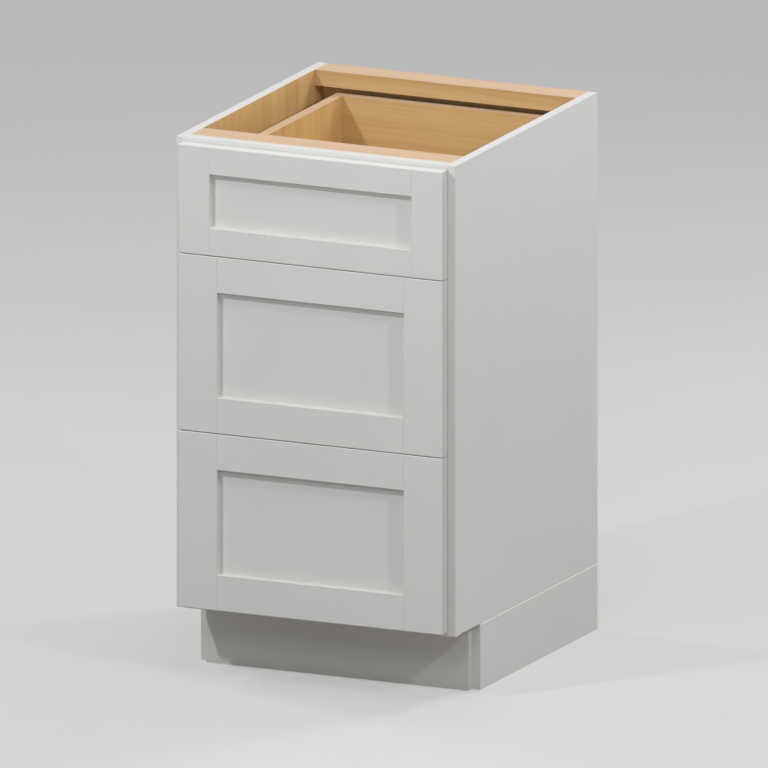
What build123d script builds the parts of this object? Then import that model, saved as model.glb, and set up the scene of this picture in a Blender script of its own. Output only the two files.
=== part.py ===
from build123d import *

import math
import os

# Vanity base cabinet with three drawers: a face-frame case on a plinth, five-piece drawer fronts,
# dovetailed drawer boxes and telescopic ball-bearing slides. Millimetres, +X to the viewer's right,
# +Y to the back, +Z up. The origin is on the floor, in the middle of the outline.

# Case
WIDTH = 457.2
CASE_DEPTH = 508.0
HEIGHT = 822.0
SIDE_T = 15.0
FLOOR_T = 15.0
BACK_T = 12.0
FLOOR_RABBET = 6.0
BACK_RABBET = 8.0
STRETCHER_DEPTH = 45.0
FRONT_STRETCHER_T = 16.0
BACK_STRETCHER_T = 24.0

# Plinth and toe kick
PLINTH_H = 101.0
PLINTH_T = 15.0
TOE_RECESS = 77.0
TOE_BOARD_T = 12.0
TOE_BOARD_INSET = 14.0
SEAM_BEVEL = 1.2

# Face frame
FRAME_T = 19.0
STILE_W = 38.1
RAIL_W = 38.0
TOP_RAIL_W = 28.0
FRAME_EDGE_R = 2.0
TENON_T = 7.0
TENON_LENGTH = 22.0
TENON_SHOULDER = 6.0

# Drawer fronts, from top to bottom
FRONT_T = 19.0
FRONT_SIDE_REVEAL = 12.7
FRONT_END_REVEAL = 6.0
FRONT_GAP = 1.2
UPPER_FRONT_H = 166.2
UPPER_MEMBERS_W = (50.5, 42.0)
LOWER_MEMBERS_W = (63.0, 54.8)
FRONT_EDGE_R = 1.2
FRONT_INNER_BEVEL = 0.6
JOINT_GROOVE = 0.8
PANEL_RECESS = 11.0
PANEL_T = 6.4
PANEL_GROOVE = 9.0
PANEL_PLAY = 1.0
BUMPER_T = 1.5
BUMPER_R = 5.0
BUMPER_SIDES = 12
BUMPER_DROP = 15.0

# Drawer boxes
BOX_T = 16.0
BOX_BACK_GAP = 31.0
BOX_LIFT = 14.0
UPPER_BOX_CLEARANCE = 4.0
LOWER_BOX_H = 190.0
BOX_BOTTOM_T = 6.0
BOX_BOTTOM_RISE = 12.0
BOX_GROOVE = 8.0
TAIL_PITCH = 27.0
TAIL_LENGTH = 10.0
TAIL_SHARE = 0.66
TAIL_SLOPE = 0.22

# Drawer slides
SLIDE_LENGTH = 457.2
SLIDE_SETBACK = 2.0
SLIDE_H = 45.7
SLIDE_T = 12.7
UPPER_SLIDE_RISE = 45.0
LOWER_SLIDE_RISE = 80.0
SHEET_T = 1.2
BEND = 2.0
CABINET_CHANNEL_DEPTH = 11.0
INTERMEDIATE_CLEARANCE = 1.1
CHANNEL_LIP = 1.0
CAGE_T = 0.8
CAGE_PLAY = 0.4
CAGE_FLANGE = 6.4
CAGE_LENGTH = 200.0
BALL_R = 1.5
BALL_PLAY = 0.3
BALLS_IN_ROW = 3
SPACER_H = 60.0

# Planes and limits that follow from the sizes above
HALF_WIDTH = WIDTH / 2
FRONT_STAND_OFF = FRONT_T + BUMPER_T
BACK_Y = (CASE_DEPTH + FRONT_STAND_OFF) / 2
FRAME_Y = BACK_Y - CASE_DEPTH
FRAME_BACK_Y = FRAME_Y + FRAME_T
FRONT_Y = FRAME_Y - FRONT_STAND_OFF
BACK_INNER_Y = BACK_Y - BACK_T
INNER_HALF = HALF_WIDTH - SIDE_T
OPENING_HALF = HALF_WIDTH - STILE_W
BOX_HALF = OPENING_HALF - SLIDE_T
BOX_Y = (FRAME_Y - BUMPER_T, BACK_INNER_Y - BOX_BACK_GAP)
PLINTH_Y = FRAME_Y + TOE_RECESS + TOE_BOARD_T
LOWER_FRONT_H = (HEIGHT - PLINTH_H - UPPER_FRONT_H) / 2 - FRONT_END_REVEAL - FRONT_GAP
SLIDE_Y = (FRAME_Y + SLIDE_SETBACK, FRAME_Y + SLIDE_SETBACK + SLIDE_LENGTH)
BALL_GAP = 2 * (BALL_R + BALL_PLAY)

# Each drawer front's lower and upper edge
UPPER_FRONT_Z = (HEIGHT - FRONT_END_REVEAL - UPPER_FRONT_H, HEIGHT - FRONT_END_REVEAL)
MIDDLE_FRONT_Z = (UPPER_FRONT_Z[0] - FRONT_GAP - LOWER_FRONT_H, UPPER_FRONT_Z[0] - FRONT_GAP)
LOWER_FRONT_Z = (PLINTH_H + FRONT_END_REVEAL, PLINTH_H + FRONT_END_REVEAL + LOWER_FRONT_H)

# Each face-frame rail's lower and upper edge; the two middle rails are centred on the gaps between fronts
UPPER_RAIL_MID = UPPER_FRONT_Z[0] - FRONT_GAP / 2
LOWER_RAIL_MID = MIDDLE_FRONT_Z[0] - FRONT_GAP / 2
RAIL_Z = {
    "face_top_rail": (HEIGHT - TOP_RAIL_W, HEIGHT),
    "face_upper_rail": (UPPER_RAIL_MID - RAIL_W / 2, UPPER_RAIL_MID + RAIL_W / 2),
    "face_lower_rail": (LOWER_RAIL_MID - RAIL_W / 2, LOWER_RAIL_MID + RAIL_W / 2),
    "face_bottom_rail": (PLINTH_H, PLINTH_H + RAIL_W),
}

# Each drawer box's lower and upper edge
UPPER_BOX_Z = (RAIL_Z["face_upper_rail"][1] + BOX_LIFT, RAIL_Z["face_top_rail"][0] - UPPER_BOX_CLEARANCE)
MIDDLE_BOX_BASE = RAIL_Z["face_lower_rail"][1] + BOX_LIFT
MIDDLE_BOX_Z = (MIDDLE_BOX_BASE, MIDDLE_BOX_BASE + LOWER_BOX_H)
LOWER_BOX_BASE = RAIL_Z["face_bottom_rail"][1] + BOX_LIFT
LOWER_BOX_Z = (LOWER_BOX_BASE, LOWER_BOX_BASE + LOWER_BOX_H)

# Each drawer's front edges, stile and rail widths, box edges and height of the slides in the box
DRAWERS = {
    "upper": (UPPER_FRONT_Z, UPPER_MEMBERS_W, UPPER_BOX_Z, UPPER_SLIDE_RISE),
    "middle": (MIDDLE_FRONT_Z, LOWER_MEMBERS_W, MIDDLE_BOX_Z, LOWER_SLIDE_RISE),
    "lower": (LOWER_FRONT_Z, LOWER_MEMBERS_W, LOWER_BOX_Z, LOWER_SLIDE_RISE),
}


def slab(x, y, z):
    """A board between its low and high limits along each axis."""
    size = [high - low for low, high in (x, y, z)]
    centre = [(high + low) / 2 for low, high in (x, y, z)]
    return Pos(*centre) * Box(*size)


def flipped(shape):
    """The right-hand twin of a left-hand piece."""
    return mirror(shape, about=Plane.YZ)


def both_sides(shapes):
    """Left-hand pieces with their right-hand twins."""
    return shapes + [flipped(shape) for shape in shapes]


def save(node, *shapes):
    """Writes one node, with each of its pieces as a separate solid."""
    solids = [solid for shape in shapes for solid in shape.solids()]
    export_step(solids[0] if len(solids) == 1 else Compound(solids), f"parts/{node}.step")


# Case and plinth

def side_panel():
    """Left side of the case, rabbeted for floor and back, bevelled along the seam above the plinth."""
    panel = slab((-HALF_WIDTH, -INNER_HALF), (FRAME_BACK_Y, BACK_Y), (PLINTH_H, HEIGHT))
    lower_edges = panel.edges().filter_by(Axis.Y).group_by(Axis.Z)[0]
    panel = chamfer(lower_edges.sort_by(Axis.X)[0], SEAM_BEVEL)
    return panel - floor_panel() - back_panel()


def floor_panel():
    """Floor of the case, housed in the sides and standing on the plinth."""
    half = INNER_HALF + FLOOR_RABBET
    return slab((-half, half), (FRAME_BACK_Y, BACK_INNER_Y), (PLINTH_H, PLINTH_H + FLOOR_T))


def back_panel():
    """Back of the case, let into the sides and closed above by the back stretcher."""
    half = INNER_HALF + BACK_RABBET
    return slab((-half, half), (BACK_INNER_Y, BACK_Y), (PLINTH_H, HEIGHT - BACK_STRETCHER_T))


def stretcher(y, thickness):
    """A board laid flat across the open top, between the sides."""
    return slab((-INNER_HALF, INNER_HALF), y, (HEIGHT - thickness, HEIGHT))


def plinth_side():
    """Left side of the plinth, bevelled along the seam below the case."""
    side = slab((-HALF_WIDTH, -HALF_WIDTH + PLINTH_T), (PLINTH_Y, BACK_Y), (0, PLINTH_H))
    upper_edges = side.edges().filter_by(Axis.Y).group_by(Axis.Z)[-1]
    return chamfer(upper_edges.sort_by(Axis.X)[0], SEAM_BEVEL)


def plinth_rail(y):
    """A cross rail between the sides of the plinth."""
    half = HALF_WIDTH - PLINTH_T
    return slab((-half, half), y, (0, PLINTH_H))


def toe_kick_board():
    """The finished board on the front of the plinth, a little shorter than the plinth is wide."""
    half = HALF_WIDTH - TOE_BOARD_INSET
    return slab((-half, half), (PLINTH_Y - TOE_BOARD_T, PLINTH_Y), (0, PLINTH_H))


# Face frame

def tenon(z):
    """Left-hand tenon of a face-frame rail, in the middle of the frame's thickness."""
    x = (-OPENING_HALF - TENON_LENGTH, -OPENING_HALF)
    middle_y = FRAME_Y + FRAME_T / 2
    y = (middle_y - TENON_T / 2, middle_y + TENON_T / 2)
    return slab(x, y, (z[0] + TENON_SHOULDER, z[1] - TENON_SHOULDER))


def face_stile():
    """Left stile of the face frame, eased along its outer front edge and mortised for the rails."""
    stile = slab((-HALF_WIDTH, -OPENING_HALF), (FRAME_Y, FRAME_BACK_Y), (PLINTH_H, HEIGHT))
    front_edges = stile.edges().filter_by(Axis.Z).group_by(Axis.Y)[0]
    stile = fillet(front_edges.sort_by(Axis.X)[0], FRAME_EDGE_R)
    return stile - [tenon(z) for z in RAIL_Z.values()]


def face_rail(z):
    """A rail of the face frame with a tenon at each end."""
    rail = slab((-OPENING_HALF, OPENING_HALF), (FRAME_Y, FRAME_BACK_Y), z)
    return rail + both_sides([tenon(z)])


def front_bumpers():
    """Left-hand bumper pads on the face frame, one near the top corner of each drawer front."""
    pad = Rot(X=90) * extrude(RegularPolygon(BUMPER_R, BUMPER_SIDES), BUMPER_T)
    x = -HALF_WIDTH + (FRONT_SIDE_REVEAL + STILE_W) / 2
    return [Pos(x, FRAME_Y, front_z[1] - BUMPER_DROP) * pad for front_z, *_ in DRAWERS.values()]


# Drawer fronts

def drawer_front(z, members_w):
    """Stiles, rails and panel of a five-piece front; stub tenons and panel sit in the groove."""
    stile_w, rail_w = members_w
    half = HALF_WIDTH - FRONT_SIDE_REVEAL
    opening_half = half - stile_w
    opening_z = (z[0] + rail_w, z[1] - rail_w)
    y = (FRONT_Y, FRONT_Y + FRONT_T)
    groove_y = (FRONT_Y + PANEL_RECESS, FRONT_Y + PANEL_RECESS + PANEL_T)
    groove_half = opening_half + PANEL_GROOVE
    groove_z = (opening_z[0] - PANEL_GROOVE, opening_z[1] + PANEL_GROOVE)

    blank = slab((-half, half), y, z)
    blank = fillet(blank.faces().sort_by(Axis.Y)[0].edges(), FRONT_EDGE_R)
    frame = blank - slab((-opening_half, opening_half), y, opening_z)
    frame = chamfer(frame.faces().sort_by(Axis.Y)[0].inner_wires()[0].edges(), FRONT_INNER_BEVEL)
    groove = extrude(Rot(Z=45) * Rectangle(JOINT_GROOVE, JOINT_GROOVE), z[1] - z[0])
    groove = Pos(-opening_half, FRONT_Y, z[0]) * groove
    frame -= both_sides([groove])

    stile = frame & slab((-half, -opening_half), y, z)
    stile -= slab((-groove_half, -opening_half), groove_y, z)
    rails = frame & slab((-opening_half, opening_half), y, z)
    rails -= slab((-opening_half, opening_half), groove_y, groove_z)
    tenons = slab((-groove_half, groove_half), groove_y, z) - slab((-opening_half, opening_half), y, z)
    rails += tenons - slab((-half, half), y, groove_z)
    panel_half = groove_half - PANEL_PLAY
    panel_z = (groove_z[0] + PANEL_PLAY, groove_z[1] - PANEL_PLAY)
    panel = slab((-panel_half, panel_half), groove_y, panel_z)
    return both_sides([stile]), rails, panel


# Drawer boxes

def dovetails(z):
    """Tails on the front end of a left box side, wider at their ends, evenly spread over its height."""
    count = round((z[1] - z[0]) / TAIL_PITCH)
    pitch = (z[1] - z[0]) / count
    end_half = TAIL_SHARE * pitch / 2
    root_half = end_half - TAIL_SLOPE * TAIL_LENGTH
    root_y = BOX_Y[0] + BOX_T
    end_y = root_y - TAIL_LENGTH
    tails = []
    for step in range(count):
        mid = z[0] + (step + 1 / 2) * pitch
        outline = [
            (end_y, mid - end_half),
            (root_y, mid - root_half),
            (root_y, mid + root_half),
            (end_y, mid + end_half),
        ]
        face = Plane.YZ.offset(-BOX_HALF) * Polygon(*outline, align=None)
        tails.append(extrude(face, BOX_T))
    return tails


def drawer_box(z):
    """Left side, front, back and bottom of a box with half-blind dovetails at all four corners."""
    middle_y = Plane.XZ.offset(-(BOX_Y[0] + BOX_Y[1]) / 2)
    front_tails = dovetails(z)
    back_tails = [mirror(tail, about=middle_y) for tail in front_tails]
    inner_half = BOX_HALF - BOX_T
    inner_y = (BOX_Y[0] + BOX_T, BOX_Y[1] - BOX_T)

    bottom_half = inner_half + BOX_GROOVE
    bottom_y = (inner_y[0] - BOX_GROOVE, inner_y[1] + BOX_GROOVE)
    bottom_z = (z[0] + BOX_BOTTOM_RISE, z[0] + BOX_BOTTOM_RISE + BOX_BOTTOM_T)
    bottom = slab((-bottom_half, bottom_half), bottom_y, bottom_z)

    side = slab((-BOX_HALF, -inner_half), inner_y, z) + front_tails + back_tails - bottom
    front = slab((-BOX_HALF, BOX_HALF), (BOX_Y[0], inner_y[0]), z)
    front = front - both_sides(front_tails) - bottom
    back = slab((-BOX_HALF, BOX_HALF), (inner_y[1], BOX_Y[1]), z)
    back = back - both_sides(back_tails) - bottom
    return side, front, back, bottom


# Drawer slides, drawn for the left side with distances counted from the cabinet's side of the slide

def channel_section(web, mouth, height):
    """Section of a rolled channel: web, two flanges and two lips, with its bends drawn as bevels."""
    middle = (web + mouth) / 2
    depth = abs(mouth - web)
    inner_bend = BEND - (2 - math.sqrt(2)) * SHEET_T
    outline = chamfer(Rectangle(depth, height).vertices(), BEND)
    hollow = chamfer(Rectangle(depth - 2 * SHEET_T, height - 2 * SHEET_T).vertices(), inner_bend)
    opening = Pos(mouth, 0) * Rectangle(2 * SHEET_T, height - 2 * (SHEET_T + CHANNEL_LIP))
    return Pos(middle, 0) * (outline - hollow) - opening


def cage_section(web, height):
    """Section of a ball cage: a web and two flat flanges."""
    outline = Pos(web + CAGE_FLANGE / 2, 0) * Rectangle(CAGE_FLANGE, height)
    return outline - Pos(web + CAGE_FLANGE / 2 + CAGE_T, 0) * Rectangle(CAGE_FLANGE, height - 2 * CAGE_T)


def run(section, y, z):
    """A left-hand slide member of the given section, from y[0] to y[1] at height z."""
    return Pos(-OPENING_HALF, y[1], z) * Rot(X=90) * extrude(section, y[1] - y[0])


def ball():
    """A bearing ball with few faces: three square bars crossed at half right angles."""
    size = 2 * BALL_R
    cube = Box(size, size, size)
    return cube & (Rot(X=45) * cube) & (Rot(Y=45) * cube) & (Rot(Z=45) * cube)


def ball_cage(web, height, z):
    """A thin strip between two channels, which carries a row of balls above and a row below."""
    middle_y = (SLIDE_Y[0] + SLIDE_Y[1]) / 2
    cage = run(cage_section(web, height), (middle_y - CAGE_LENGTH / 2, middle_y + CAGE_LENGTH / 2), z)
    row_x = -OPENING_HALF + web + CAGE_FLANGE - 2 * BALL_R
    row_z = (height - CAGE_T) / 2
    pitch = CAGE_LENGTH / BALLS_IN_ROW
    places = [place.position for place in GridLocations(pitch, 2 * row_z, BALLS_IN_ROW, 2)]
    return cage + [Pos(row_x, middle_y + place.X, z + place.Y) * ball() for place in places]


def slide(z):
    """Cabinet, intermediate and drawer channels, outer and inner ball cages of one left-hand slide."""
    middle_h = SLIDE_H - 2 * (SHEET_T + BALL_GAP)
    drawer_h = middle_h - 2 * (SHEET_T + BALL_GAP)
    cage_step = SHEET_T + CAGE_PLAY
    middle_web = cage_step + CAGE_T + CAGE_PLAY
    drawer_mouth = middle_web + cage_step + CAGE_T + CAGE_PLAY
    cabinet_channel = run(channel_section(0, CABINET_CHANNEL_DEPTH, SLIDE_H), SLIDE_Y, z)
    middle_mouth = SLIDE_T - INTERMEDIATE_CLEARANCE
    intermediate_channel = run(channel_section(middle_web, middle_mouth, middle_h), SLIDE_Y, z)
    drawer_channel = run(channel_section(SLIDE_T, drawer_mouth, drawer_h), SLIDE_Y, z)
    outer_cage = ball_cage(cage_step, middle_h + BALL_GAP + CAGE_T, z)
    inner_cage = ball_cage(middle_web + cage_step, drawer_h + BALL_GAP + CAGE_T, z)
    return cabinet_channel, intermediate_channel, drawer_channel, outer_cage, inner_cage


def slide_spacer(z):
    """Left-hand wooden rail that carries a slide, flush with the edge of the face frame's stile."""
    height = (z - SPACER_H / 2, z + SPACER_H / 2)
    return slab((-INNER_HALF, -OPENING_HALF), (FRAME_BACK_Y, BACK_INNER_Y), height)


# Assembly

def save_case():
    """Writes the case, the face frame and the plinth."""
    save("side_panel_left", side_panel())
    save("side_panel_right", flipped(side_panel()))
    save("floor_panel", floor_panel())
    save("back_panel", back_panel())
    save("front_stretcher", stretcher((FRAME_BACK_Y, FRAME_BACK_Y + STRETCHER_DEPTH), FRONT_STRETCHER_T))
    save("back_stretcher", stretcher((BACK_Y - STRETCHER_DEPTH, BACK_Y), BACK_STRETCHER_T))
    save("face_stile_left", face_stile())
    save("face_stile_right", flipped(face_stile()))
    for node, z in RAIL_Z.items():
        save(node, face_rail(z))
    save("front_bumpers", *both_sides(front_bumpers()))
    save("plinth_side_left", plinth_side())
    save("plinth_side_right", flipped(plinth_side()))
    save("plinth_front_rail", plinth_rail((PLINTH_Y, PLINTH_Y + PLINTH_T)))
    save("plinth_back_rail", plinth_rail((BACK_Y - PLINTH_T, BACK_Y)))
    save("toe_kick_board", toe_kick_board())


def save_drawers():
    """Writes each drawer with its slides; what stays in the cabinet is gathered in two nodes."""
    spacers = []
    cabinet_channels = []
    for name, (front_z, members_w, box_z, slide_rise) in DRAWERS.items():
        stiles, rails, panel = drawer_front(front_z, members_w)
        save(f"{name}_front_stiles", *stiles)
        save(f"{name}_front_rails", rails)
        save(f"{name}_front_panel", panel)

        side, front, back, bottom = drawer_box(box_z)
        save(f"{name}_box_side_left", side)
        save(f"{name}_box_side_right", flipped(side))
        save(f"{name}_box_front", front)
        save(f"{name}_box_back", back)
        save(f"{name}_box_bottom", bottom)

        slide_z = box_z[0] + slide_rise
        cabinet_channel, intermediate_channel, drawer_channel, outer_cage, inner_cage = slide(slide_z)
        save(f"{name}_drawer_channels", *both_sides([drawer_channel]))
        save(f"{name}_intermediate_channels", *both_sides([intermediate_channel]))
        save(f"{name}_outer_ball_cages", *both_sides([outer_cage]))
        save(f"{name}_inner_ball_cages", *both_sides([inner_cage]))
        cabinet_channels.append(cabinet_channel)
        spacers.append(slide_spacer(slide_z))
    save("cabinet_channels", *both_sides(cabinet_channels))
    save("slide_spacers", *both_sides(spacers))


os.makedirs("parts", exist_ok=True)
save_case()
save_drawers()
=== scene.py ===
import math

import bmesh
import bpy
from mathutils import Matrix, Vector


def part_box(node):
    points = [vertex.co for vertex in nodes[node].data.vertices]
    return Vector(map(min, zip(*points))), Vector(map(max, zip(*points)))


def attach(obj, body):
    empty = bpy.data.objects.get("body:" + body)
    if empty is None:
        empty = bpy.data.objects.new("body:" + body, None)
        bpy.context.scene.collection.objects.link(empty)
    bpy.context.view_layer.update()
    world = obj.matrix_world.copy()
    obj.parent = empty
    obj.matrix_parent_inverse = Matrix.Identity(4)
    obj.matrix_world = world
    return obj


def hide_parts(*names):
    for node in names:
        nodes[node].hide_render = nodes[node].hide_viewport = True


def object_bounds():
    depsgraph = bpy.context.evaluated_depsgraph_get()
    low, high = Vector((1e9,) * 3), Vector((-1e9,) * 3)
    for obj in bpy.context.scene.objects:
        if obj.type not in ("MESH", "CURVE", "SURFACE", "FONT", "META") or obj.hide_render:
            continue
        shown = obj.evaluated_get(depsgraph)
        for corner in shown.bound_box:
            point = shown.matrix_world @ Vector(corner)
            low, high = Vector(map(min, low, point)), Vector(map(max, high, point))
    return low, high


# Looks of a white vanity base cabinet with maple inside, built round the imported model.
# Metres, +X to the viewer's right, +Y to the back, +Z up.

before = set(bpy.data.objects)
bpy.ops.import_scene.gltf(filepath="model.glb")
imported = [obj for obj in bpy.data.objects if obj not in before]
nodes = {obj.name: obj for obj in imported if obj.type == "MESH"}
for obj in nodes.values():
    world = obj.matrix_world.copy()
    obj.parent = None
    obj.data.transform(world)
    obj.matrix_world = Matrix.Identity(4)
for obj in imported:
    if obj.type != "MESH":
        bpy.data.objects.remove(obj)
cad_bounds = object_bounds()

DRAWERS = ("upper", "middle", "lower")
CASE_BODY = "cabinet"
X, Y, Z = range(3)

# Colours, linear
WHITE = (1, 1, 1)
PAINT = (0.705, 0.705, 0.692)
PAINT_CLOUD = (0.69, 0.69, 0.676)
# Paler, pinker maple for up-facing faces: painted light from above and painted sheen
MAPLE_TOP_LIGHT_SHEEN = ((0.625, 0.427, 0.268), (0.683, 0.486, 0.322))
MAPLE_END = ((0.350, 0.205, 0.082), (0.430, 0.262, 0.112), (0.490, 0.310, 0.140))
MAPLE_LYING = ((0.507, 0.317, 0.135), (0.579, 0.383, 0.180), (0.622, 0.430, 0.216))
# Standing boards' maple is redder and less blue than the lying boards': a painted tint of the warm light
# bounced between maple faces
MAPLE_STANDING = ((0.523, 0.318, 0.124), (0.598, 0.384, 0.165), (0.643, 0.432, 0.198))
ZINC_LIGHT = (0.66, 0.67, 0.69)
ZINC_DARK = (0.59, 0.60, 0.62)
STEEL_LIGHT = (0.74, 0.74, 0.75)
STEEL_DARK = (0.66, 0.66, 0.68)
PAD_CLEAR = (0.90, 0.92, 0.92)
FLOOR = (0.28, 0.28, 0.275)
FLOOR_WORN = (0.27, 0.27, 0.265)

# Noises: their middle, the ranges that most of one falls in, and how much detail it holds
NOISE_MIDDLE = 0.5
NOISE_SPREAD = (0.3, 0.7)
NOISE_CORE = (0.35, 0.65)
PLAIN_DETAIL = 2.0
CLOUD_DETAIL = 3.0

# Finishes: noises in waves per metre, lowest and highest roughness, depth of the relief
PAINT_CLOUDS = 7.0
PAINT_PEEL = 900.0
PAINT_ROUGHNESS = (0.40, 0.50)
PAINT_RELIEF = 0.00004
MAPLE_ROUGHNESS = (0.34, 0.46)
MAPLE_RELIEF = 0.00005
ZINC_LINES = (900, 14, 900)
ZINC_BLOOM = 55.0
ZINC_ROUGHNESS = (0.26, 0.42)
ZINC_RELIEF = 0.00002
STEEL_HAZE = 700.0
STEEL_ROUGHNESS = (0.14, 0.26)
STEEL_RELIEF = 0.00001
PAD_CLOUDS = 500.0
PAD_ROUGHNESS = (0.18, 0.32)
PAD_RELIEF = 0.00003
PAD_TRANSMISSION = 0.35
PAD_IOR = 1.48
FLOOR_GRAIN = 3.0
FLOOR_ROUGHNESS = 0.7

# Share of a face's normal along an axis from which the face counts as looking that way
FACING_SHARE = 0.5

# Maple figure, with its noises in waves per metre along the grain, across it and into the board
RING_SPACING = 0.0065
PITH_DEPTH = 0.045
PITH_TAPER = 0.055
GRAIN_WANDER = 0.022
RING_WANDER = 1.4
WANDER_WAVES = (2.6, 8, 8)
BAND_WAVES = (1.1, 48, 48)
FIBRE_WAVES = (16, 820, 820)
RING_TONE = 0.045
FIBRE_TONE = 0.28
MAPLE_STOPS = (0.28, 0.52, 0.74)

# Each board's own place in the tree: a shift per letter of its name, and the shares of that shift
BOARD_SHIFT = 0.013
PITH_SHARE = 0.2
NOISE_SHARES = (1, 3, 5)

# Camera of the photograph, a parallel projection that aims at the middle of the part
VIEW_AZIMUTH = 24.6
VIEW_ELEVATION = 13.8
VIEW_WIDTH = 1.143
CAMERA_DISTANCE = 5.0
CAMERA_REACH = 100.0

# Lamps: direction from the cabinet, distance, size and power
LAMPS = {
    "left_lamp": ((-1.15, -2.2, 2.09), 3.3, 0.20, 35.5),
    "right_lamp": ((2.57, -1.15, 1.79), 3.35, 0.20, 21.0),
    "side_lamp": ((2.57, -0.1, 1.79), 3.0, 0.40, 6.5),
    "front_lamp": ((0.5, -1.75, 0.79), 1.98, 0.50, 4.5),
    "top_lamp": ((0.15, -0.3, 1.0), 2.6, 1.20, 11.5),
    "rear_right_lamp": ((1.0, 1.3, 1.6), 2.6, 0.60, 21.0),
    "left_side_lamp": ((-2.4, 0.55, 1.5), 3.0, 0.60, 22.0),
    "rear_lamp": ((0.8, 2.4, 0.5), 3.2, 0.80, 16.0),
}
SKY = 0.28
FLOOR_GLOW = 0.36
FLOOR_SIZE = 40.0

# Turned pieces, as rings of radius and height from the face that they sit on
ROUND_SIDES = 24
SHARP_ANGLE = math.radians(35)
PAN_HEAD = ((0.0036, 0.0), (0.0036, 0.0006), (0.0033, 0.0014), (0.0026, 0.0019))
WASHER_FLANGE = ((0.0062, 0.0), (0.0062, 0.0008), (0.0058, 0.0011))
WASHER_HEAD = (*WASHER_FLANGE, (0.0040, 0.0012), (0.0037, 0.0022), (0.0029, 0.0028))
FLUSH_HEAD = ((0.0034, 0.0), (0.0034, 0.00015), (0.0031, 0.00028))
BRAD_HEAD = ((0.0015, 0.0), (0.0014, 0.00003), (0.0008, 0.00004))
PAD_DOME = ((0.0050, 0.0), (0.0050, 0.0004), (0.0046, 0.0009), (0.0037, 0.0013), (0.0022, 0.00148))
PAD_R = PAD_DOME[0][0]
PAD_DROP = 0.015

# Cross recesses: depths, reach of the arms as a share of the head's top, half the angle of an arm
PAN_RECESS = 0.0013
FLUSH_RECESS = 0.0002
CROSS_MOUTH = 0.86
CROSS_FOOT = 0.62
CROSS_ARM = math.pi / 12
TINY = 1e-9

# Places of screws and brads: along a channel and up a box front as shares, the others in metres
SLIDE_SCREWS = (0.08, 0.42, 0.93)
FRONT_SCREWS_X = 0.11
FRONT_SCREWS_Z = (0.36, 0.74)
BRAD_INSET = 0.007
BRAD_PITCH = 0.10

# Ball cages
SHEET_T = 0.0012
CAGE_T = 0.0008
CAGE_FLANGE = 0.0064
CAGE_BEND_R = 0.0009
BEND_STEPS = 3
CAD_BALL_R = 0.0015
BALL_R = 0.00175
BALL_SEGMENTS = 14
BALL_RINGS = 9
BALL_PITCH = 0.018
POCKET = 0.0019
WINDOW_SHARE = 0.62


class Finish:
    """A material, with short calls that build its nodes."""

    def __init__(self, name):
        self.material = bpy.data.materials.new(name)
        self.material.use_nodes = True
        self.tree = self.material.node_tree
        self.shader = self.tree.nodes["Principled BSDF"]
        coordinates = self.add("ShaderNodeTexCoord").outputs
        self.place = coordinates["Object"]
        self.normal = coordinates["Normal"]

    def put(self, socket, value):
        """Feeds an input from another node's output, or sets the input's own value."""
        if isinstance(value, bpy.types.NodeSocket):
            self.tree.links.new(value, socket)
        else:
            socket.default_value = value

    def add(self, kind, *values, **settings):
        """A node with its settings and its first inputs."""
        node = self.tree.nodes.new(kind)
        for key, value in settings.items():
            setattr(node, key, value)
        for socket, value in zip(node.inputs, values):
            self.put(socket, value)
        return node

    def math(self, operation, *values):
        return self.add("ShaderNodeMath", *values, operation=operation).outputs[0]

    def split(self, vector):
        return self.add("ShaderNodeSeparateXYZ", vector).outputs

    def join(self, *values):
        return self.add("ShaderNodeCombineXYZ", *values).outputs[0]

    def moved(self, vector, by):
        return self.add("ShaderNodeVectorMath", vector, by, operation="ADD").outputs[0]

    def scaled(self, vector, by):
        return self.add("ShaderNodeVectorMath", vector, by, operation="MULTIPLY").outputs[0]

    def noise(self, vector, scale=1.0, detail=PLAIN_DETAIL):
        node = self.add("ShaderNodeTexNoise")
        self.put(node.inputs["Vector"], vector)
        node.inputs["Scale"].default_value = scale
        node.inputs["Detail"].default_value = detail
        return node.outputs[0]

    def ramp(self, value, positions, colours):
        """A colour ramp with a colour at each position."""
        node = self.add("ShaderNodeValToRGB", value)
        elements = node.color_ramp.elements
        stops = list(zip(positions, colours))
        while len(elements) < len(stops):
            elements.new(NOISE_MIDDLE)
        for element, (position, colour) in zip(elements, stops):
            element.position = position
            element.color = (*colour, 1)
        return node.outputs[0]

    def span(self, value, low, high):
        """The usual spread of a noise, carried over to a range from low to high."""
        return self.add("ShaderNodeMapRange", value, *NOISE_SPREAD, low, high).outputs[0]

    def looks_along(self, axis, sign=None):
        """1 on faces that look along an axis, either way or only the way of the sign."""
        share = self.split(self.normal)[axis]
        share = self.math("MULTIPLY", share, sign) if sign else self.math("ABSOLUTE", share)
        return self.math("GREATER_THAN", share, FACING_SHARE)

    def mix_value(self, share, first, second):
        return self.add("ShaderNodeMapRange", share, 0.0, 1.0, first, second).outputs[0]

    def mix_colour(self, share, first, second):
        """A mix of two colours; the node's inputs 6 and 7 and its output 2 are the ones for colours."""
        node = self.add("ShaderNodeMix", data_type="RGBA")
        for index, value in ((0, share), (6, first), (7, second)):
            self.put(node.inputs[index], value)
        return node.outputs[2]

    def metal(self):
        self.shader.inputs["Metallic"].default_value = 1.0

    def surface(self, colour, roughness, height, depth):
        """Gives the shader its colour, roughness and relief, and returns the material."""
        relief = self.add("ShaderNodeBump")
        relief.inputs["Distance"].default_value = depth
        self.put(relief.inputs["Height"], height)
        self.put(self.shader.inputs["Base Color"], colour)
        self.put(self.shader.inputs["Roughness"], roughness)
        self.put(self.shader.inputs["Normal"], relief.outputs[0])
        return self.material


# Materials

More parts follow.
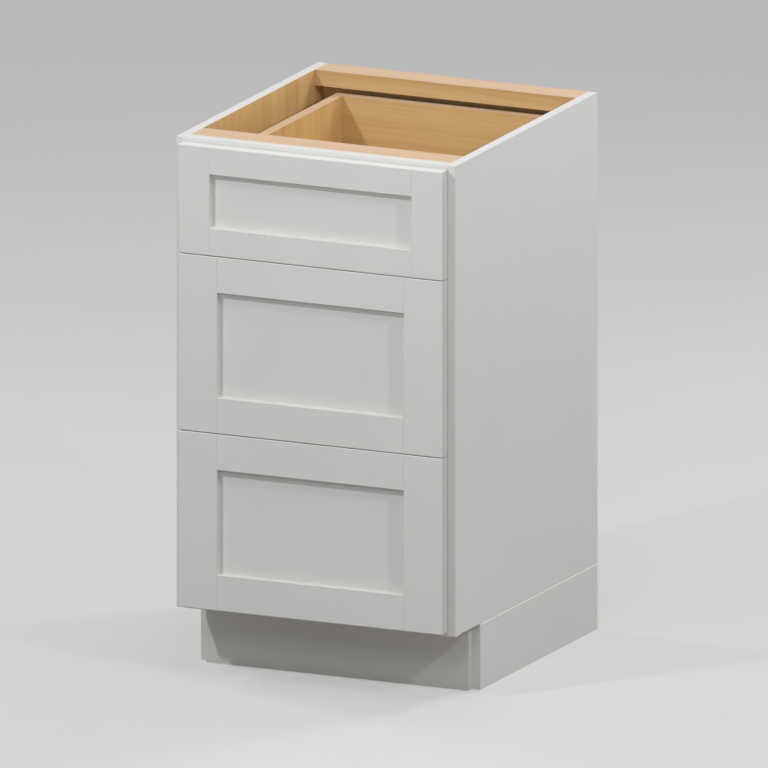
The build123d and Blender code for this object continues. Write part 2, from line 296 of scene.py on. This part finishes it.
def paint_layers(finish):
    """Colour, roughness and relief of a sprayed satin paint: faint clouds and a fine orange peel."""
    clouds = finish.noise(finish.place, PAINT_CLOUDS, CLOUD_DETAIL)
    peel = finish.noise(finish.place, PAINT_PEEL)
    colour = finish.ramp(clouds, NOISE_CORE, (PAINT_CLOUD, PAINT))
    return colour, finish.span(peel, *PAINT_ROUGHNESS), peel


def board_space(finish, node, grain, across):
    """Coordinates in a board, along its grain, across it and into the board, and the board's shift."""
    low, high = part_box(node)
    drift = BOARD_SHIFT * len(node)
    own = finish.moved(finish.place, tuple(-(low + high) / 2 + Vector((drift, drift, drift)) * PITH_SHARE))
    parts = finish.split(own)
    into = X + Y + Z - grain - across
    return parts[grain], parts[across], parts[into], drift


def maple_rings(finish, along, side, wander):
    """Waves of the yearly rings that a flat-sawn board cuts at a slant, some way from the pith."""
    depth = finish.math("MULTIPLY_ADD", along, PITH_TAPER, PITH_DEPTH)
    squares = [finish.math("POWER", length, 2.0) for length in (side, depth)]
    radius = finish.math("SQRT", finish.math("ADD", *squares))
    turns = finish.math("MULTIPLY_ADD", wander, RING_WANDER, finish.math("DIVIDE", radius, RING_SPACING))
    return finish.math("SINE", finish.math("MULTIPLY", turns, math.tau))


def maple_layers(finish, node, grain, across, painted_top_light=False):
    """Colour, roughness and relief of flat-sawn maple whose grain runs along one axis of a board.
    Up-facing faces can take a paler, pinker maple, which is painted light from above and painted sheen. A
    lying board's ends are darker."""
    along, side, deep, drift = board_space(finish, node, grain, across)
    shift = tuple(drift * share for share in NOISE_SHARES)
    space = finish.moved(finish.join(along, side, deep), shift)
    wander = finish.noise(finish.scaled(space, WANDER_WAVES))
    bend = finish.math("MULTIPLY", finish.math("SUBTRACT", wander, NOISE_MIDDLE), GRAIN_WANDER)
    side = finish.math("ADD", side, bend)
    space = finish.join(along, side, deep)
    bands = finish.noise(finish.scaled(space, BAND_WAVES), detail=CLOUD_DETAIL)
    fibres = finish.noise(finish.scaled(space, FIBRE_WAVES))
    rings = maple_rings(finish, along, side, wander)

    tone = finish.math("MULTIPLY_ADD", rings, RING_TONE, bands)
    tone = finish.math("MULTIPLY_ADD", finish.math("SUBTRACT", fibres, NOISE_MIDDLE), FIBRE_TONE, tone)
    # Standing boards take the redder maple, a painted tint of warm bounce light
    colour = finish.ramp(tone, MAPLE_STOPS, MAPLE_STANDING if grain == Z else MAPLE_LYING)
    # Up-facing faces take the paler, pinker maple: painted light from above and painted sheen
    if painted_top_light:
        edge = finish.ramp(tone, MAPLE_STOPS, MAPLE_TOP_LIGHT_SHEEN)
        colour = finish.mix_colour(finish.looks_along(Z, 1.0), colour, edge)
    if grain != Z:
        end = finish.ramp(fibres, MAPLE_STOPS, MAPLE_END)
        colour = finish.mix_colour(finish.looks_along(grain), colour, end)
    return colour, finish.span(fibres, *MAPLE_ROUGHNESS), fibres


def paint():
    finish = Finish("satin_white_paint")
    return finish.surface(*paint_layers(finish), PAINT_RELIEF)


def maple(node, grain, across, painted_top_light):
    finish = Finish(f"maple_{node}")
    return finish.surface(*maple_layers(finish, node, grain, across, painted_top_light), MAPLE_RELIEF)


def painted_outside(node, inward):
    """Paint on a side panel's outside and edges, and maple on the face that looks inward along X."""
    finish = Finish(f"paint_and_maple_{node}")
    outside = paint_layers(finish)
    inside = maple_layers(finish, node, Z, Y)
    mask = finish.looks_along(X, inward)
    colour = finish.mix_colour(mask, outside[0], inside[0])
    roughness = finish.mix_value(mask, outside[1], inside[1])
    height = finish.mix_value(mask, outside[2], inside[2])
    return finish.surface(colour, roughness, height, PAINT_RELIEF)


def zinc():
    """Bright zinc on rolled steel, with fine lines along the rolling direction."""
    finish = Finish("bright_zinc")
    finish.metal()
    lines = finish.noise(finish.scaled(finish.place, ZINC_LINES))
    bloom = finish.noise(finish.place, ZINC_BLOOM, CLOUD_DETAIL)
    colour = finish.ramp(bloom, NOISE_CORE, (ZINC_DARK, ZINC_LIGHT))
    return finish.surface(colour, finish.span(lines, *ZINC_ROUGHNESS), lines, ZINC_RELIEF)


def bright_steel():
    """Polished steel of the screw heads, brads and balls, with a faint haze."""
    finish = Finish("bright_steel")
    finish.metal()
    haze = finish.noise(finish.place, STEEL_HAZE)
    colour = finish.ramp(haze, NOISE_CORE, (STEEL_DARK, STEEL_LIGHT))
    return finish.surface(colour, finish.span(haze, *STEEL_ROUGHNESS), haze, STEEL_RELIEF)


def clear_pad():
    """Clear soft plastic, a little cloudy."""
    finish = Finish("clear_soft_plastic")
    finish.shader.inputs["Transmission Weight"].default_value = PAD_TRANSMISSION
    finish.shader.inputs["IOR"].default_value = PAD_IOR
    clouds = finish.noise(finish.place, PAD_CLOUDS)
    colour = finish.ramp(clouds, NOISE_SPREAD, (PAD_CLEAR, WHITE))
    return finish.surface(colour, finish.span(clouds, *PAD_ROUGHNESS), clouds, PAD_RELIEF)


def stage_floor():
    """A pale floor that glows a little to the eye and in gloss, and adds no light to the cabinet."""
    finish = Finish("plain_floor")
    rays = finish.add("ShaderNodeLightPath").outputs
    seen = rays["Is Camera Ray"]
    for kind in ("Is Glossy Ray", "Is Transmission Ray"):
        seen = finish.math("MAXIMUM", seen, rays[kind])
    grain = finish.noise(finish.place, FLOOR_GRAIN)
    inputs = finish.shader.inputs
    finish.put(inputs["Base Color"], finish.ramp(grain, NOISE_SPREAD, (FLOOR_WORN, FLOOR)))
    finish.put(inputs["Roughness"], FLOOR_ROUGHNESS)
    finish.put(inputs["Emission Color"], (*WHITE, 1))
    finish.put(inputs["Emission Strength"], finish.math("MULTIPLY", seen, FLOOR_GLOW))
    return finish.material


# Small hardware

def cross(turn, reach):
    """Radius of a cross recess at an angle, for a recess whose arms reach that far."""
    quarter = math.pi / 2
    from_arm = (turn + quarter / 2) % quarter - quarter / 2
    side = reach * math.tan(CROSS_ARM)
    return min(reach / math.cos(from_arm), side / max(abs(math.sin(from_arm)), TINY))


def turned(rings, recess=0.0):
    """A mesh turned about Z through rings of radius and height.
    A recess is the depth of a cross sunk into its top."""
    shape = bmesh.new()
    turns = [math.tau * index / ROUND_SIDES for index in range(ROUND_SIDES)]
    loops = [[(radius, height) for _ in turns] for radius, height in rings]
    if recess:
        top_radius, top = rings[-1]
        for share, depth in ((CROSS_MOUTH, 0.0), (CROSS_FOOT, recess)):
            loops.append([(cross(turn, share * top_radius), top - depth) for turn in turns])
    corners = []
    for loop in loops:
        ring = []
        for turn, (radius, height) in zip(turns, loop):
            place = (radius * math.cos(turn), radius * math.sin(turn), height)
            ring.append(shape.verts.new(place))
        corners.append(ring)
    for lower, upper in zip(corners, corners[1:]):
        for index in range(ROUND_SIDES):
            follow = (index + 1) % ROUND_SIDES
            shape.faces.new((lower[index], lower[follow], upper[follow], upper[index]))
    shape.faces.new(corners[-1])
    shape.faces.new(reversed(corners[0]))
    return shape


def facing(place, direction):
    """A matrix that stands a turned piece at a place, with its axis along a direction."""
    turn = Vector(direction).to_track_quat("Z", "Y").to_matrix().to_4x4()
    return Matrix.Translation(place) @ turn


def piece(name, shape, places, material, body):
    """One object of the same shape at several places, which rides on a body."""
    data = bpy.data.meshes.new(name)
    shape.to_mesh(data)
    shape.free()
    gathered = bmesh.new()
    for matrix in places:
        known = len(gathered.verts)
        gathered.from_mesh(data)
        gathered.verts.ensure_lookup_table()
        bmesh.ops.transform(gathered, matrix=matrix, verts=gathered.verts[known:])
    bmesh.ops.recalc_face_normals(gathered, faces=gathered.faces)
    gathered.to_mesh(data)
    gathered.free()
    data.materials.append(material)
    data.shade_smooth()
    data.set_sharp_from_angle(angle=SHARP_ANGLE)
    thing = bpy.data.objects.new(name, data)
    bpy.context.scene.collection.objects.link(thing)
    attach(thing, body)
    return thing


def between(low, high, share):
    return low + (high - low) * share


def add_front_screws(name, metal):
    """Washer-head screws that hold a drawer's front, on the inner face of its box."""
    low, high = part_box(f"{name}_box_front")
    places = []
    for x in (-FRONT_SCREWS_X, FRONT_SCREWS_X):
        for share in FRONT_SCREWS_Z:
            places.append(facing((x, high.y, between(low.z, high.z, share)), (0, 1, 0)))
    shape = turned(WASHER_HEAD, PAN_RECESS)
    piece(f"{name}_front_screws", shape, places, metal, f"{name}_drawer")


def add_slide_screws(name, metal):
    """Pan-head screws in the drawer channels and flush ones in the cabinet channels."""
    low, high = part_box(f"{name}_drawer_channels")
    level = (low.z + high.z) / 2
    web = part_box(f"{name}_box_side_right")[1].x + SHEET_T
    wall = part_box("cabinet_channels")[1].x - SHEET_T
    drawer_places = []
    cabinet_places = []
    for side in (-1, 1):
        for share in SLIDE_SCREWS:
            y = between(low.y, high.y, share)
            drawer_places.append(facing((side * web, y, level), (side, 0, 0)))
            cabinet_places.append(facing((side * wall, y, level), (-side, 0, 0)))
    pan = turned(PAN_HEAD, PAN_RECESS)
    flush = turned(FLUSH_HEAD, FLUSH_RECESS)
    piece(f"{name}_drawer_channel_screws", pan, drawer_places, metal, f"{name}_drawer")
    piece(f"{name}_cabinet_channel_screws", flush, cabinet_places, metal, CASE_BODY)


def cage_section(half, row):
    """Half a ball cage's section from the web's window to the flange's tip, in depth and height."""
    points = [(0.0, half * WINDOW_SHARE)]
    for step in range(BEND_STEPS + 1):
        turn = math.pi - math.pi / 2 * step / BEND_STEPS
        points.append((CAGE_BEND_R * (1 + math.cos(turn)), half - CAGE_BEND_R * (1 - math.sin(turn))))
    points += [(row - POCKET, half), (row + POCKET, half), (CAGE_FLANGE - CAGE_T / 2, half)]
    return points


def cage_sheet(half, row, ball_places, ends):
    """A pressed cage: a folded strip with a pocket at every ball and a window between them."""
    upper = cage_section(half, row)
    section = [(depth, -height) for depth, height in reversed(upper)] + upper
    pockets = (1, len(section) - 3)
    window = len(upper) - 1
    stations = [ends[0]]
    for y in ball_places:
        stations += [y - POCKET, y + POCKET]
    stations.append(ends[1])
    shape = bmesh.new()
    corners = [[shape.verts.new((depth, y, height)) for depth, height in section] for y in stations]
    for bay in range(len(stations) - 1):
        at_ball = bay % 2 == 1
        inside = 0 < bay < len(stations) - 2
        for strip in range(len(section) - 1):
            open_pocket = at_ball and strip in pockets
            open_window = strip == window and inside and not at_ball
            if not open_pocket and not open_window:
                first, second = corners[bay], corners[bay + 1]
                shape.faces.new((first[strip], first[strip + 1], second[strip + 1], second[strip]))
    return shape


def ball_row(low, high):
    """Places of the balls along a cage, a pitch apart and centred."""
    count = int((high - low) / BALL_PITCH)
    start = (low + high - (count - 1) * BALL_PITCH) / 2
    return [start + index * BALL_PITCH for index in range(count)]


def add_ball_cages(name, part, steel, polished):
    """A pair of pressed cages with their rows of round balls, in place of the plain solids."""
    node = f"{name}_{part}_ball_cages"
    body = f"{name}_{part}_cages"
    low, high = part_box(node)
    level = (low.z + high.z) / 2
    row_height = (high.z - low.z) / 2 - CAD_BALL_R
    row_depth = CAGE_FLANGE - 2 * CAD_BALL_R
    ball_places = ball_row(low.y, high.y)
    mirrored = Matrix.Diagonal((-1, 1, 1, 1))
    left = Matrix.Translation((CAGE_T / 2 - high.x, 0, level))
    right = mirrored @ left
    sheet = cage_sheet(row_height, row_depth - CAGE_T / 2, ball_places, (low.y, high.y))
    cage = piece(f"{name}_{part}_cages", sheet, (left, right), steel, body)
    thickness = cage.modifiers.new("sheet", "SOLIDIFY")
    thickness.thickness = CAGE_T
    thickness.offset = 0.0
    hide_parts(node)

    ball = bmesh.new()
    bmesh.ops.create_uvsphere(ball, u_segments=BALL_SEGMENTS, v_segments=BALL_RINGS, radius=BALL_R)
    spots = []
    for side in (-1, 1):
        for y in ball_places:
            for height in (-row_height, row_height):
                spots.append(Matrix.Translation((side * (high.x - row_depth), y, level + height)))
    piece(f"{name}_{part}_balls", ball, spots, polished, body)


def add_pads(clear):
    """Domed pads on the face frame that the drawer fronts close on."""
    low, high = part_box("front_bumpers")
    places = []
    for name in DRAWERS:
        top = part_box(f"{name}_front_stiles")[1].z
        for x in (low.x + PAD_R, high.x - PAD_R):
            places.append(facing((x, high.y, top - PAD_DROP), (0, -1, 0)))
    pads = piece("domed_pads", turned(PAD_DOME), places, clear, CASE_BODY)
    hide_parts("front_bumpers")


def spread(low, high, pitch):
    """Places from low to high, about a pitch apart."""
    count = max(1, round((high - low) / pitch))
    return [between(low, high, index / count) for index in range(count + 1)]


def add_back_brads(metal):
    """Brad heads round the edge of the back panel."""
    low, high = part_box("back_panel")
    ends_x = (low.x + BRAD_INSET, high.x - BRAD_INSET)
    ends_z = (low.z + BRAD_INSET, high.z - BRAD_INSET)
    spots = set()
    for x in ends_x:
        spots.update((x, z) for z in spread(*ends_z, BRAD_PITCH))
    for z in ends_z:
        spots.update((x, z) for x in spread(*ends_x, BRAD_PITCH))
    places = [facing((x, high.y, z), (0, 1, 0)) for x, z in sorted(spots)]
    piece("back_brads", turned(BRAD_HEAD), places, metal, CASE_BODY)


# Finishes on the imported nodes

def dress(node, material):
    """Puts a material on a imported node."""
    nodes[node].material_slots[0].material = material


def dress_case(white, steel):
    """Materials of the case, the face frame and the plinth."""
    for side, inward in (("left", 1.0), ("right", -1.0)):
        dress(f"side_panel_{side}", painted_outside(f"side_panel_{side}", inward))
        dress(f"face_stile_{side}", white)
        dress(f"plinth_side_{side}", white)
    for rail in ("top", "upper", "lower", "bottom"):
        dress(f"face_{rail}_rail", white)
    dress("toe_kick_board", white)
    dress("cabinet_channels", steel)
    boards = {
        "floor_panel": (Y, X),
        "back_panel": (Z, X),
        "front_stretcher": (X, Y),
        "back_stretcher": (X, Z),
        "plinth_front_rail": (X, Z),
        "plinth_back_rail": (X, Z),
        "slide_spacers": (Y, Z),
    }
    for node, (grain, across) in boards.items():
        # Stretchers get painted top light and sheen on their up-facing faces
        dress(node, maple(node, grain, across, node.endswith("stretcher")))


def dress_drawer(name, white, steel):
    """Materials of one drawer's front, box and slides."""
    for part in ("stiles", "rails", "panel"):
        dress(f"{name}_front_{part}", white)
    for part in ("drawer", "intermediate"):
        dress(f"{name}_{part}_channels", steel)
    boards = {
        "side_left": (Z, Y),
        "side_right": (Z, Y),
        "front": (X, Z),
        "back": (X, Z),
        "bottom": (Y, X),
    }
    for part, (grain, across) in boards.items():
        node = f"{name}_box_{part}"
        # All box boards but the bottom get painted top light and sheen on their up-facing faces
        dress(node, maple(node, grain, across, part != "bottom"))


# Light, floor and camera

def toward(azimuth, elevation):
    """Direction from the part to a viewer; azimuth 0 is the front, and it grows to the right."""
    turn = math.radians(azimuth)
    lift = math.radians(elevation)
    return Vector((math.sin(turn) * math.cos(lift), -math.cos(turn) * math.cos(lift), math.sin(lift)))


def aimed(name, data, place, target):
    """A lamp or camera at a place, looking at a target."""
    thing = bpy.data.objects.new(name, data)
    thing.location = place
    thing.rotation_euler = (target - place).to_track_quat("-Z", "Y").to_euler()
    bpy.context.scene.collection.objects.link(thing)
    return thing


def add_lamps(target):
    """Round area lamps that all aim at one place."""
    for name, (direction, distance, size, power) in LAMPS.items():
        lamp = bpy.data.lights.new(name, "AREA")
        lamp.shape = "DISK"
        lamp.size = size
        lamp.energy = power
        aimed(name, lamp, target + Vector(direction).normalized() * distance, target)


def add_sky():
    """An even white light from all round."""
    world = bpy.data.worlds.new("studio")
    world.use_nodes = True
    inputs = world.node_tree.nodes["Background"].inputs
    inputs["Color"].default_value = (*WHITE, 1)
    inputs["Strength"].default_value = SKY
    bpy.context.scene.world = world


def add_floor():
    """A wide floor under the cabinet, which isn't part of it."""
    mesh = bmesh.new()
    bmesh.ops.create_grid(mesh, x_segments=1, y_segments=1, size=FLOOR_SIZE / 2)
    data = bpy.data.meshes.new("floor")
    mesh.to_mesh(data)
    mesh.free()
    data.materials.append(stage_floor())
    floor = bpy.data.objects.new("floor", data)
    bpy.context.scene.collection.objects.link(floor)


def add_camera(target):
    """The photograph's camera."""
    data = bpy.data.cameras.new("photo_view")
    data.type = "ORTHO"
    data.ortho_scale = VIEW_WIDTH
    data.clip_end = CAMERA_REACH
    place = target + toward(VIEW_AZIMUTH, VIEW_ELEVATION) * CAMERA_DISTANCE
    bpy.context.scene.camera = aimed("photo_view", data, place, target)


white = paint()
steel = zinc()
polished = bright_steel()
dress_case(white, steel)
add_pads(clear_pad())
add_back_brads(polished)
for name in DRAWERS:
    dress_drawer(name, white, steel)
    add_front_screws(name, polished)
    add_slide_screws(name, polished)
    for part in ("outer", "inner"):
        add_ball_cages(name, part, steel, polished)

middle = (cad_bounds[0] + cad_bounds[1]) / 2
add_lamps(middle)
add_sky()
add_floor()
add_camera(middle)
bpy.context.scene.view_settings.view_transform = "Standard"
